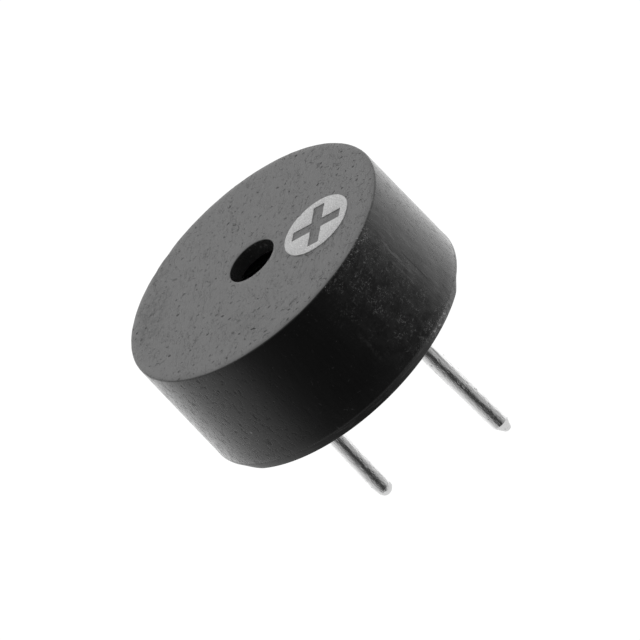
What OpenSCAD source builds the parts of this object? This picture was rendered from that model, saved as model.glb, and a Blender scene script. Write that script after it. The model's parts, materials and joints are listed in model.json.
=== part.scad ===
// Magnetic buzzer: a 9 mm externally driven sounder for a circuit board.
// The origin is the centre of the seating face. +Z runs up towards the sound
// hole, and +X runs from the centre to the positive lead. The leads hang below
// the seating face, where they pass through the board.

/* [Case] */
// Outside diameter of the case at its open end
body_d = 9; // [8.9:0.1:9.4]
// Height of the case above the seating face
body_h = 3.86; // [3.8:0.01:4.3]
// Draft of the side wall: how much the radius shrinks from the open end to the rim
draft = 0.054; // [0:0.002:0.06]
// Thickness of the case's side wall at the open end
wall_t = 0.45; // [0.4:0.01:0.46]
// Thickness of the top wall
top_t = 0.5; // [0.3:0.05:0.6]
// Diameter of the sound hole
hole_d = 1.58; // [1:0.02:2.4]
// Radius of the rim's rounded edge
rim_r = 0.05; // [0.03:0.01:0.12]

/* [Polarity mark] */
// Distance from the centre of the case to the centre of the mark
mark_x = 2.36; // [2.2:0.01:2.5]
// Diameter of the printed disc
mark_d = 2.28; // [1.8:0.01:2.4]
// Length of each bar of the plus sign
plus_l = 1.7; // [1.2:0.05:1.75]
// Width of each bar of the plus sign
plus_w = 0.38; // [0.3:0.01:0.5]
// Thickness of the ink
ink_t = 0.02; // [0.01:0.01:0.03]

/* [Base] */
// Height of the seam between the base and the case
seam_z = 0.22; // [0.2:0.01:0.3]
// Height of the two stand-off arcs under the base
standoff_h = 0.12; // [0.06:0.01:0.14]
// Radial width of the stand-off arcs
standoff_w = 0.8; // [0.5:0.05:1]
// Angle that each stand-off arc covers
standoff_a = 125; // [90:1:150]
// Angle from the positive lead to the first arc's end, measured clockwise from above
standoff_start = 1; // [0:1:20]

/* [Leads] */
// Diameter of the lead wire
lead_d = 0.6; // [0.5:0.05:0.65]
// Distance between the leads where they leave the base
lead_pitch = 4.1; // [4.05:0.05:4.3]
// Length of the positive lead below the seating face
lead_l_positive = 5.18; // [3:0.01:8]
// Length of the negative lead below the seating face
lead_l_negative = 5.22; // [3:0.01:8]
// Angle by which the positive lead leans outwards
lean_positive = 2.4; // [0:0.1:3]
// Angle by which the negative lead leans outwards
lean_negative = 1; // [0:0.1:3]
// Length of the pointed end of the positive lead
point_l = 0.38; // [0.1:0.01:0.5]
// Diameter of the positive lead's cut end
point_d = 0.26; // [0.16:0.01:0.4]
// Length of the rounded end of the negative lead
round_l = 0.47; // [0.1:0.01:0.6]

/* [Magnet system] */
// Diameter of the pole core
core_d = 1.6; // [1.4:0.05:1.65]
// Height of the gap between the core and the diaphragm
air_gap = 0.12; // [0.08:0.01:0.2]
// Outside diameter of the coil
coil_d = 3.24; // [2.8:0.02:3.3]
// Diameter of the enamelled wire
wire_d = 0.08; // [0.06:0.01:0.09]
// Thickness of the yoke plate
yoke_t = 0.5; // [0.45:0.01:0.55]
// Height of the magnet ring
magnet_h = 1.05; // [0.8:0.05:1.1]
// Thickness of the diaphragm
diaphragm_t = 0.05; // [0.03:0.01:0.07]
// Diameter of the disc on the diaphragm
armature_d = 2.8; // [2:0.1:3.4]

/* [Hidden] */
$fn = 96;

body_r = body_d / 2;
rim_out_r = body_r - draft;        // radius of the side wall just under the rim
hole_r = hole_d / 2;
bore_r = body_r - wall_t;          // bore at the open end, which takes the base and the support ring
slip = 0.02;                       // clearance of the parts that drop into the case
lead_r = lead_d / 2;
lead_x = lead_pitch / 2;

// Levels, from the seating face upwards
base_top = 0.8;                    // top of the base's plug, which the yoke plate lies on
yoke_top = base_top + yoke_t;
washer_t = 0.05;
ledge_z = 2.62;                    // ledge of the support ring, which the diaphragm lies on
step_z = 2.75;                     // shoulder in the case, which holds the support ring down
core_top = ledge_z - air_gap;
coil_bottom = yoke_top + washer_t;
coil_top = core_top - 0.08;
lead_top = base_top + 0.25;

chamber_r = 3.75;                  // chamber above the diaphragm
diaphragm_r = 3.6;
magnet_r = 3.3;
magnet_in_r = 2.05;
yoke_r = 3.4;
coil_r = coil_d / 2;
core_r = core_d / 2;
spigot_r = 0.6;                    // hole in the yoke plate that the core is riveted into
notch_r = 0.75;                    // yoke plate's notches, which clear the leads
seal_r = 0.75;                     // pockets under the base for the sealing compound
seal_top = 0.37;
edge = 0.03;                       // small broken edges

// One lead's side: +1 is positive, -1 is negative
module at_lead(side) translate([side * lead_x, 0, 0]) children();

// Case: one moulded cup, open at the bottom, with the sound hole in its top wall.
// The side wall has a little draft, and the rim is a quarter round.
module case() {
    color("#26272a")
    difference() {
        rotate_extrude() {
            polygon([
                [0, seam_z], [body_r - edge, seam_z], [body_r, seam_z + edge],
                [rim_out_r, body_h - rim_r], [rim_out_r - rim_r, body_h - rim_r],
                [rim_out_r - rim_r, body_h], [0, body_h]
            ]);
            translate([rim_out_r - rim_r, body_h - rim_r]) circle(r = rim_r, $fn = 48);
        }
        rotate_extrude()
            polygon([
                [0, seam_z - 1], [bore_r + edge, seam_z - 1], [bore_r + edge, seam_z],
                [bore_r, seam_z + edge], [bore_r, step_z], [chamber_r, step_z],
                [chamber_r, body_h - top_t], [0, body_h - top_t]
            ]);
        rotate_extrude()
            polygon([
                [0, body_h - top_t - 1], [hole_r, body_h - top_t - 1],
                [hole_r, body_h - edge], [hole_r + edge, body_h],
                [hole_r + edge, body_h + 1], [0, body_h + 1]
            ]);
    }
}

// Polarity mark: a printed disc of light ink beside the positive lead. The plus
// sign is left bare, so the case shows through it.
module polarity_mark() {
    color("#c9c9c6")
    translate([mark_x, 0, body_h])
    difference() {
        cylinder(d = mark_d, h = ink_t);
        translate([-plus_l / 2, -plus_w / 2, -1]) cube([plus_l, plus_w, 2]);
        translate([-plus_w / 2, -plus_l / 2, -1]) cube([plus_w, plus_l, 2]);
    }
}

// Diaphragm: a thin nickel-iron disc, which the magnet holds down on the ledge
// of the support ring. It bends by a few hundredths of a millimetre.
module diaphragm() {
    color("#9fa2a4")
    translate([0, 0, ledge_z]) cylinder(r = diaphragm_r, h = diaphragm_t);
}

// Armature disc: the small iron disc welded to the middle of the diaphragm.
module armature_disc() {
    color("#77797b")
    translate([0, 0, ledge_z + diaphragm_t]) cylinder(d = armature_d, h = 0.18);
}

// Support ring: sets the gap between the diaphragm and the core. It stands on
// the base, and the shoulder in the case holds it down.
module support_ring() {
    color("#b9b39a")
    rotate_extrude()
        polygon([
            [yoke_r + slip, base_top], [bore_r - slip, base_top],
            [bore_r - slip, step_z], [diaphragm_r + 0.03, step_z],
            [diaphragm_r + 0.03, ledge_z], [3.35, ledge_z],
            [3.35, ledge_z - 0.22], [yoke_r + slip, ledge_z - 0.22]
        ]);
}

// Magnet ring: a ring around the coil that biases the diaphragm.
module magnet_ring() {
    color("#3c3a38")
    rotate_extrude()
        polygon([
            [magnet_in_r + 0.05, yoke_top], [magnet_r - 0.05, yoke_top],
            [magnet_r, yoke_top + 0.05], [magnet_r, yoke_top + magnet_h - 0.05],
            [magnet_r - 0.05, yoke_top + magnet_h],
            [magnet_in_r + 0.05, yoke_top + magnet_h],
            [magnet_in_r, yoke_top + magnet_h - 0.05], [magnet_in_r, yoke_top + 0.05]
        ]);
}

// Pole core: a turned iron stud with a spigot riveted into the yoke plate.
module pole_core() {
    color("#8d8f92")
    rotate_extrude()
        polygon([
            [0, base_top], [spigot_r - 0.01, base_top], [spigot_r - 0.01, yoke_top],
            [core_r, yoke_top], [core_r, core_top - 0.05], [core_r - 0.05, core_top],
            [0, core_top]
        ]);
}

// Yoke plate: a stamped steel disc with a hole for the core's spigot and a
// notch over each lead.
module yoke_plate() {
    color("#85888b")
    difference() {
        translate([0, 0, base_top]) cylinder(r = yoke_r, h = yoke_t);
        translate([0, 0, base_top - 1]) cylinder(r = spigot_r, h = yoke_t + 2);
        for (side = [-1, 1]) {
            at_lead(side) translate([0, 0, base_top - 1])
                cylinder(r = notch_r, h = yoke_t + 2);
            translate([side > 0 ? lead_x : -yoke_r - 1, -notch_r, base_top - 1])
                cube([yoke_r + 1 - lead_x, 2 * notch_r, yoke_t + 2]);
        }
    }
}

// Coil washer: a punched polyester ring between the winding and the yoke plate.
module coil_washer() {
    color("#c9a24a")
    translate([0, 0, yoke_top])
    difference() {
        cylinder(r = coil_r + 0.04, h = washer_t);
        translate([0, 0, -1]) cylinder(r = core_r + 0.03, h = 2);
    }
}

// One end of the coil's wire: it leaves the bottom turn, drops through the notch
// in the yoke plate and runs into the solder on the lead.
wire_end = [
    [coil_r - 0.06, 0.3, coil_bottom + 0.12],
    [coil_r + 0.14, 0.24, coil_bottom + 0.06],
    [coil_r + 0.2, 0.16, yoke_top - 0.12],
    [lead_x - 0.35, 0.04, base_top + 0.2]
];
module wire_run(side, d) {
    rotate([0, 0, side > 0 ? 0 : 180])
    for (i = [0 : len(wire_end) - 2]) {
        a = wire_end[i];
        b = wire_end[i + 1];
        v = b - a;
        l = norm(v);
        translate(a) {
            rotate([0, acos(v[2] / l), atan2(v[1], v[0])]) cylinder(d = d, h = l, $fn = 16);
            sphere(d = 1.06 * d, $fn = 16);
        }
        if (i == len(wire_end) - 2) translate(b) sphere(d = 1.06 * d, $fn = 16);
    }
}

// Coil: one length of enamelled copper wire, wound tight and bonded, with its
// two ends led down to the leads. The outer turns show as fine ridges.
turns = floor((coil_top - coil_bottom) / wire_d);
pitch_z = (coil_top - coil_bottom) / turns;
module coil() {
    color("#b5562f")
    union() {
        rotate_extrude()
            polygon(concat(
                [[core_r + 0.05, coil_top], [core_r + 0.05, coil_bottom]],
                [for (i = [0 : turns - 1], s = [0 : 3])
                    [coil_r - 0.03 + 0.03 * sin(180 * s / 4),
                     coil_bottom + pitch_z * (i + s / 4)]],
                [[coil_r - 0.03, coil_top]]
            ));
        for (side = [-1, 1]) wire_run(side, wire_d);
    }
}

// Base: a moulded plug with a lip that closes the case. Two arcs under the lip
// hold the body off the board, and the gaps between them let it be washed.
module base() {
    color("#222325")
    difference() {
        union() {
            rotate_extrude()
                polygon([
                    [0, standoff_h], [body_r, standoff_h], [body_r, seam_z - edge],
                    [body_r - edge, seam_z], [bore_r - slip, seam_z],
                    [bore_r - slip, base_top - edge], [bore_r - slip - edge, base_top],
                    [0, base_top]
                ]);
            for (k = [0, 1])
                rotate([0, 0, 180 * k - standoff_start - standoff_a])
                rotate_extrude(angle = standoff_a)
                    translate([body_r - standoff_w, 0])
                    square([standoff_w, standoff_h + 0.02]);
        }
        for (side = [-1, 1]) at_lead(side) {
            translate([0, 0, -1]) cylinder(r = lead_r + 0.01, h = base_top + 2);
            translate([0, 0, -1]) cylinder(r = seal_r, h = seal_top + 1);
        }
    }
}

// Lead: a tinned wire that runs up through the base. Below the seating face it
// leans outwards a little. tip lists the (radius, height above the end) of the
// points that shape its cut end.
module lead(length, lean, tip) {
    color("#cfd1d3")
    translate([lead_x, 0, 0]) {
        cylinder(r = lead_r, h = lead_top);
        sphere(r = lead_r + 0.002);
        rotate([0, -lean, 0])
        translate([0, 0, -length])
        rotate_extrude()
            polygon(concat([[0, length], [lead_r, length]], tip, [[0, 0]]));
    }
}

// The positive lead was cut to a blunt point, with a small break at its end.
point_tip = [
    [lead_r, point_l], [point_d / 2, 0.03], [point_d / 2 - 0.03, 0]
];

// The negative lead's end is rounded.
round_w = 0.24;
round_tip = [
    for (s = [0 : 4])
        [lead_r - round_w * (1 - cos(22.5 * s)), round_l * (1 - sin(22.5 * s))]
];
module lead_positive() { lead(lead_l_positive, lean_positive, point_tip); }
module lead_negative() { mirror([1, 0, 0]) lead(lead_l_negative, lean_negative, round_tip); }

// Solder: the joint between a lead's top, the end of the coil's wire and the
// pocket in the base, under the magnet.
module solder(side) {
    color("#b4b6b8")
    difference() {
        at_lead(side)
        rotate_extrude()
            polygon([
                [0, base_top], [0.64, base_top], [0.6, base_top + 0.09],
                [0.5, base_top + 0.22], [0.36, base_top + 0.34],
                [0.2, base_top + 0.4], [0, base_top + 0.42]
            ]);
        at_lead(side) cylinder(r = lead_r, h = lead_top);
        wire_run(side, wire_d);
    }
}
module solder_positive() { solder(1); }
module solder_negative() { solder(-1); }

// Seal: the bead of sealing compound round a lead, in the pocket under the base.
module seal(side) {
    color("#171717")
    at_lead(side)
    rotate_extrude()
        polygon([
            [lead_r, seal_top], [lead_r, 0.06], [0.42, 0.08], [0.56, 0.105],
            [seal_r, standoff_h + 0.01], [seal_r, seal_top]
        ]);
}
module seal_positive() { seal(1); }
module seal_negative() { seal(-1); }

case();
polarity_mark();
diaphragm();
armature_disc();
support_ring();
magnet_ring();
pole_core();
yoke_plate();
coil_washer();
coil();
base();
lead_positive();
lead_negative();
solder_positive();
solder_negative();
seal_positive();
seal_negative();
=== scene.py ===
"""Looks of the magnetic buzzer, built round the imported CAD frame.

Lengths in the helper functions are millimetres in the CAD frame. They are turned
into metres when a mesh is made.
"""

import json
import math

import bmesh
import bpy
import numpy as np
from mathutils import Matrix, Vector, noise


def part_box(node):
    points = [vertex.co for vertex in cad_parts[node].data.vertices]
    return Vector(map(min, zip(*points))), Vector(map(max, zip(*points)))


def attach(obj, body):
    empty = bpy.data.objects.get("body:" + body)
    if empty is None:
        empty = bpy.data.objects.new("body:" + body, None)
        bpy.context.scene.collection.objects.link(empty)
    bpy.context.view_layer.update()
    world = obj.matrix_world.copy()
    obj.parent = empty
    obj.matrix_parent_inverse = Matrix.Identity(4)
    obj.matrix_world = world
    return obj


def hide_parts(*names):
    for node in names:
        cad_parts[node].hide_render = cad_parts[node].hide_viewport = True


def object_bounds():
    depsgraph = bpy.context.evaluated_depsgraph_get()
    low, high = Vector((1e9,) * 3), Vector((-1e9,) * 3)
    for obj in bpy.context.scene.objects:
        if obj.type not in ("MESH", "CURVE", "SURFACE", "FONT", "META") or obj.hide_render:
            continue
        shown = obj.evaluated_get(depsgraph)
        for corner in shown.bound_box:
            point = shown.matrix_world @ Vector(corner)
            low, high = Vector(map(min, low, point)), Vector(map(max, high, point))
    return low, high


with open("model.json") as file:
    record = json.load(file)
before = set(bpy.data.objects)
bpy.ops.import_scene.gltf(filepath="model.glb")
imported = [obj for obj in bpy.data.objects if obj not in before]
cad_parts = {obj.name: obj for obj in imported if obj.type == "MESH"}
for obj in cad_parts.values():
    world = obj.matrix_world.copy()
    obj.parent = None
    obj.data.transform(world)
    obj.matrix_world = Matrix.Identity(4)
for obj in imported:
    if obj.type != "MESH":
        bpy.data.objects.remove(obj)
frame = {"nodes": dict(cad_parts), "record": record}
cad_lo, cad_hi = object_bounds()

MM = 0.001

# ---------------------------------------------------------------- measures
# Some of them come from the imported frame; the others are given here.


def node_box(name):
    lo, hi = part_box(name)
    return [c / MM for c in lo], [c / MM for c in hi]


case_lo, case_hi = node_box("case")
base_lo, base_hi = node_box("base")
mark_lo, mark_hi = node_box("polarity_mark")
ring_lo, ring_hi = node_box("support_ring")
plus_lo, plus_hi = node_box("lead_positive")

R = case_hi[0]                       # radius of the body at its open end
TOP = case_hi[2]                     # top face
SEAM = case_lo[2]                    # seam between the case and the base
MARK_X = (mark_lo[0] + mark_hi[0]) / 2
MARK_R = (mark_hi[0] - mark_lo[0]) / 2
INK_TOP = mark_hi[2]
BASE_TOP = base_hi[2]
BORE_R = ring_hi[0] + 0.02           # bore at the case's open end
STEP_Z = ring_hi[2]                  # shoulder in the case
CHAMBER_R = 3.75
TOP_T = 0.5
HOLE_R = 0.79
RIM_R = 0.05
R_TOP = R - 0.054                    # radius under the rim: the wall has a little draft
EDGE = 0.03
SEAM_EDGE = 0.007
CROWN_W, CROWN_H = 0.28, 0.015       # the top rolls off a little before the rim
STANDOFF = 0.12
LEAD_R = 0.3
SEAL_R = 0.75
SEAL_TOP = 0.37

MOUNTS = {m["name"]: m for m in frame["record"]["mounts"]}
LEAD_X = MOUNTS["lead_positive"]["pos_m"][0] / MM


def smooth(a, b, x):
    """0 below a, 1 above b, smooth between."""
    t = np.clip((np.asarray(x, float) - a) / (b - a), 0.0, 1.0)
    return t * t * (3 - 2 * t)


def wall_r(z):
    """Radius of the side wall at a height."""
    return R + (R_TOP - R) * min(max((z - SEAM) / (TOP - RIM_R - SEAM), 0.0), 1.0)


def ang(a, b):
    """Signed difference of two angles in degrees, from -180 to 180."""
    return (np.asarray(a, float) - b + 180.0) % 360.0 - 180.0


# ------------------------------------------------------------------ camera


TURN = 31.7099                       # degrees from -Y to the camera, round the axis


def add_camera():
    e, roll, turn = math.radians(27.0793), math.radians(-44.0073), math.radians(TURN)
    spin = Matrix.Rotation(turn, 3, "Z")
    fwd = spin @ Vector((0, math.cos(e), -math.sin(e)))
    right = spin @ Vector((1, 0, 0))
    down = fwd.cross(right)
    x = math.cos(roll) * right - math.sin(roll) * down
    y = -(math.sin(roll) * right + math.cos(roll) * down)
    place = Vector((98.5506, -159.0818, 96.6505)) * MM
    data = bpy.data.cameras.new("camera")
    data.sensor_width = 36.0
    data.lens = 7354.25 / 640 * 36.0
    data.clip_start, data.clip_end = 0.01, 20.0
    cam = bpy.data.objects.new("camera", data)
    back = -fwd
    cam.matrix_world = Matrix((
        (x[0], y[0], back[0], place[0]),
        (x[1], y[1], back[1], place[1]),
        (x[2], y[2], back[2], place[2]),
        (0, 0, 0, 1),
    ))
    bpy.context.scene.collection.objects.link(cam)
    bpy.context.scene.camera = cam
    return cam


# ------------------------------------------------------------- node helper


class Nodes:
    """A thin wrapper that adds and links shader nodes."""

    def __init__(self, tree):
        self.tree = tree
        tree.nodes.clear()

    def add(self, kind, **settings):
        n = self.tree.nodes.new(kind)
        for k, v in settings.items():
            setattr(n, k, v)
        return n

    def put(self, socket, value):
        """A constant goes on the socket and an output is linked to it."""
        if isinstance(value, bpy.types.NodeSocket):
            self.tree.links.new(value, socket)
        elif value is not None:
            socket.default_value = value

    def math(self, op, a, b=None, c=None, clamp=False):
        n = self.add("ShaderNodeMath", operation=op, use_clamp=clamp)
        for s, v in zip(n.inputs, (a, b, c)):
            self.put(s, v)
        return n.outputs[0]

    def vec(self, op, a, b=None, scale=None):
        n = self.add("ShaderNodeVectorMath", operation=op)
        self.put(n.inputs[0], a)
        if b is not None:
            self.put(n.inputs[1], b)
        if scale is not None:
            self.put(n.inputs["Scale"], scale)
        return n.outputs["Value"] if op in ("DOT_PRODUCT", "LENGTH", "DISTANCE") else n.outputs["Vector"]

    def range(self, x, a, b, lo=0.0, hi=1.0, kind="SMOOTHSTEP"):
        n = self.add("ShaderNodeMapRange", interpolation_type=kind)
        n.clamp = True
        for name, v in (("Value", x), ("From Min", a), ("From Max", b), ("To Min", lo), ("To Max", hi)):
            self.put(n.inputs[name], v)
        return n.outputs["Result"]

    def noise(self, where, scale, detail=2.0, rough=0.5, distortion=0.0):
        n = self.add("ShaderNodeTexNoise", noise_dimensions="3D")
        self.put(n.inputs["Vector"], where)
        self.put(n.inputs["Scale"], scale)
        self.put(n.inputs["Detail"], detail)
        self.put(n.inputs["Roughness"], rough)
        self.put(n.inputs["Distortion"], distortion)
        return n.outputs["Fac"]

    def cells(self, where, scale, feature="F1", random=1.0, flat=False):
        n = self.add("ShaderNodeTexVoronoi", feature=feature, voronoi_dimensions="2D" if flat else "3D")
        self.put(n.inputs["Vector"], where)
        self.put(n.inputs["Scale"], scale)
        self.put(n.inputs["Randomness"], random)
        return n

    def mix(self, f, a, b):
        """Mix of two colours or greys."""
        n = self.add("ShaderNodeMix", data_type="RGBA", blend_type="MIX")
        self.put(n.inputs[0], f)
        self.put(n.inputs[6], a)
        self.put(n.inputs[7], b)
        return n.outputs[2]

    def fmix(self, f, a, b):
        n = self.add("ShaderNodeMix", data_type="FLOAT")
        self.put(n.inputs[0], f)
        self.put(n.inputs[2], a)
        self.put(n.inputs[3], b)
        return n.outputs[0]

    def bump(self, height, distance, strength=1.0, normal=None):
        n = self.add("ShaderNodeBump")
        self.put(n.inputs["Strength"], strength)
        self.put(n.inputs["Distance"], distance)
        self.put(n.inputs["Height"], height)
        if normal is not None:
            self.put(n.inputs["Normal"], normal)
        return n.outputs["Normal"]

    def place(self):
        """Position in millimetres in the part's own frame."""
        t = self.add("ShaderNodeTexCoord")
        return self.vec("SCALE", t.outputs["Object"], scale=1000.0)

    def stretch(self, where, turn=(0, 0, 0), scale=(1, 1, 1), move=(0, 0, 0)):
        n = self.add("ShaderNodeMapping", vector_type="POINT")
        self.put(n.inputs["Vector"], where)
        n.inputs["Location"].default_value = move
        n.inputs["Rotation"].default_value = [math.radians(t) for t in turn]
        n.inputs["Scale"].default_value = scale
        return n.outputs["Vector"]

    def unroll(self, p, radius):
        """(length round the wall, height) of a position, in mm."""
        x, y, z = self.split(p)
        c = self.add("ShaderNodeCombineXYZ")
        self.put(c.inputs[0], self.math("MULTIPLY", self.math("ARCTAN2", y, x), radius))
        self.put(c.inputs[1], z)
        return c.outputs[0]

    def split(self, v):
        n = self.add("ShaderNodeSeparateXYZ")
        self.put(n.inputs[0], v)
        return n.outputs[0], n.outputs[1], n.outputs[2]

    def grey(self, v, tint=(1.0, 1.0, 1.0)):
        n = self.add("ShaderNodeCombineColor")
        for i in range(3):
            self.put(n.inputs[i], v if tint[i] == 1.0 else self.math("MULTIPLY", v, tint[i]))
        return n.outputs[0]


def material(name, metallic=0.0, ior=1.5, coat=0.0, coat_rough=0.1):
    m = bpy.data.materials.new(name)
    m.use_nodes = True
    n = Nodes(m.node_tree)
    out = n.add("ShaderNodeOutputMaterial")
    b = n.add("ShaderNodeBsdfPrincipled")
    n.tree.links.new(b.outputs[0], out.inputs[0])
    b.inputs["Metallic"].default_value = metallic
    b.inputs["IOR"].default_value = ior
    b.inputs["Coat Weight"].default_value = coat
    b.inputs["Coat Roughness"].default_value = coat_rough
    return m, n, b


def give(obj, mat):
    obj.data.materials.clear()
    obj.data.materials.append(mat)


# --------------------------------------------------------------- materials


def marks(n, p, cell, keep, size, seed, turn=0.0, long=1.0, wobble=0.0, soft=0.45, flat=False):
    """Sparse small marks: 1 inside a mark and 0 outside. cell is the mean spacing
    in mm, keep the share of cells with a mark, size its half width in mm. On a flat
    or unrolled surface the cells lie in its plane, so that each one is cut in full."""
    q = p
    if wobble:
        w = n.add("ShaderNodeTexNoise", noise_dimensions="3D")
        n.put(w.inputs["Vector"], n.stretch(p, move=(seed * 3.1, 0, 0)))
        w.inputs["Scale"].default_value = 3.0
        w.inputs["Detail"].default_value = 2.0
        off = n.vec("SUBTRACT", w.outputs["Color"], (0.5, 0.5, 0.5))
        q = n.vec("ADD", p, n.vec("SCALE", off, scale=wobble))
    q = n.stretch(q, turn=(0, 0, turn), scale=(1.0 / long, 1.0, 1.0), move=(seed * 7.3, seed * 1.7, seed * 0.9))
    v = n.cells(q, 1.0 / cell, flat=flat)
    r, g, b = n.split(v.outputs["Color"])
    here = n.math("LESS_THAN", r, keep)
    width = n.math("MULTIPLY_ADD", g, size * 0.9, size * 0.45)
    d = n.math("MULTIPLY", v.outputs["Distance"], cell)
    inner = n.math("SUBTRACT", width, d)
    m = n.range(n.math("DIVIDE", inner, width), 0.0, soft)
    depth = n.math("MULTIPLY_ADD", b, 0.6, 0.4)
    return n.math("MULTIPLY", n.math("MULTIPLY", m, here), depth)


def zone(n, x, y, cx, cy, rx, ry, soft=0.5):
    """1 inside an ellipse on the top face and 0 well outside it."""
    dx = n.math("DIVIDE", n.math("SUBTRACT", x, cx), rx)
    dy = n.math("DIVIDE", n.math("SUBTRACT", y, cy), ry)
    d = n.math("SQRT", n.math("ADD", n.math("MULTIPLY", dx, dx), n.math("MULTIPLY", dy, dy)))
    return n.range(d, 1.0 - soft, 1.0 + soft, 1.0, 0.0)


def scratches(n, p, cell, keep, half, seed, turn, long, wobble=0.15):
    """Fine long scratches in one direction."""
    return marks(n, p, cell, keep, half, seed, turn=turn, long=long, wobble=wobble, soft=0.7, flat=True)


def wall_scuffs_and_painted_shade(n, wall, deg, v):
    """How strongly the side mirrors: painted shade holds the reflection down round the side that faces the camera, with
    patches of rubbed wear there and scuffs along the axis all round.
    """
    edge = n.math("MULTIPLY_ADD", n.noise(wall, 1.1, 4.0, 0.65), 14.0, -7.0)
    d = n.math("ADD", deg, n.math("MULTIPLY", edge, n.range(deg, -75.0, -40.0)))
    # painted shade: the stops below dim the reflection by angle round the wall, lowest where it faces the camera
    ramp = n.add("ShaderNodeValToRGB")
    stops = [(-180, 1.0), (-106, 1.0), (-96, 0.86), (-90, 0.68), (-86, 0.51), (-80, 0.44), (-74, 0.36), (-66, 0.35), (-55, 0.32),
             (-49, 0.32), (-44, 0.42), (-33, 0.53), (-20, 0.60), (-12, 0.80), (-6, 0.97), (0, 1.0), (180, 1.0)]
    el = ramp.color_ramp.elements
    while len(el) > 1:
        el.remove(el[-1])
    for i, (a, t) in enumerate(stops):
        e = el[0] if i == 0 else el.new((a + 180) / 360)
        e.position = (a + 180) / 360
        e.color = (t, t, t, 1)
    n.put(ramp.inputs[0], n.math("MULTIPLY_ADD", d, 1.0 / 360.0, 0.5))
    t = ramp.outputs[0]
    rubbed = n.math("MULTIPLY", n.range(deg, -60.0, -46.0), n.range(deg, -12.0, -20.0))
    smear = n.math("MULTIPLY", n.range(n.noise(n.stretch(wall, turn=(0, 0, 10), scale=(1, 0.4, 1)), 3.2, 5.0, 0.7), 0.42, 0.62), n.math("MULTIPLY", n.range(deg, -24.0, -14.0), n.range(deg, 50.0, 15.0)))
    t = n.math("MULTIPLY", t, n.math("SUBTRACT", 1.0, n.math("MULTIPLY", smear, 0.35)))
    patch = n.range(n.noise(wall, 2.6, 5.0, 0.7), 0.40, 0.60)
    t = n.math("MULTIPLY", t, n.math("SUBTRACT", 1.0, n.math("MULTIPLY", rubbed, n.math("MULTIPLY", patch, 0.55))))
    # dark scuffs, mostly along the axis and denser away from the rubbed zone
    q = n.stretch(wall, turn=(0, 0, 12), scale=(1, 0.42, 1))
    s1 = n.range(n.noise(q, 8.0, 5.0, 0.72), 0.50, 0.64)
    s2 = marks(n, n.stretch(wall, scale=(1, 0.5, 1)), 0.20, 0.42, 0.030, 31, turn=14, long=1.8, wobble=0.5, flat=True)
    s3 = marks(n, wall, 0.16, 0.30, 0.020, 32, turn=50, long=2.4, wobble=0.5, flat=True)
    s = n.math("MAXIMUM", n.math("MULTIPLY", s1, 0.50), n.math("MAXIMUM", n.math("MULTIPLY", s2, 0.75), n.math("MULTIPLY", s3, 0.6)))
    s = n.math("MULTIPLY", s, n.math("MULTIPLY_ADD", n.range(n.math("ABSOLUTE", n.math("ADD", deg, 50.0)), 25.0, 60.0), 0.75, 0.25))
    s = n.math("MULTIPLY", s, n.range(deg, -40.0, 0.0, 1.0, 0.6))
    return n.math("MULTIPLY", t, n.math("SUBTRACT", 1.0, s)), s


def wall_line(n, deg, v, at, half, lo, hi, lean=0.0):
    """A thin line up the wall near an angle, from one height to another, fading at its ends."""
    d = n.math("ABSOLUTE", n.math("SUBTRACT", deg, n.math("MULTIPLY_ADD", v, lean, at)))
    along = n.math("MULTIPLY", n.range(v, lo - 0.15, lo + 0.25), n.range(v, hi + 0.15, hi - 0.25))
    return n.math("MULTIPLY", n.range(d, half, half * 0.3), along)


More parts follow.
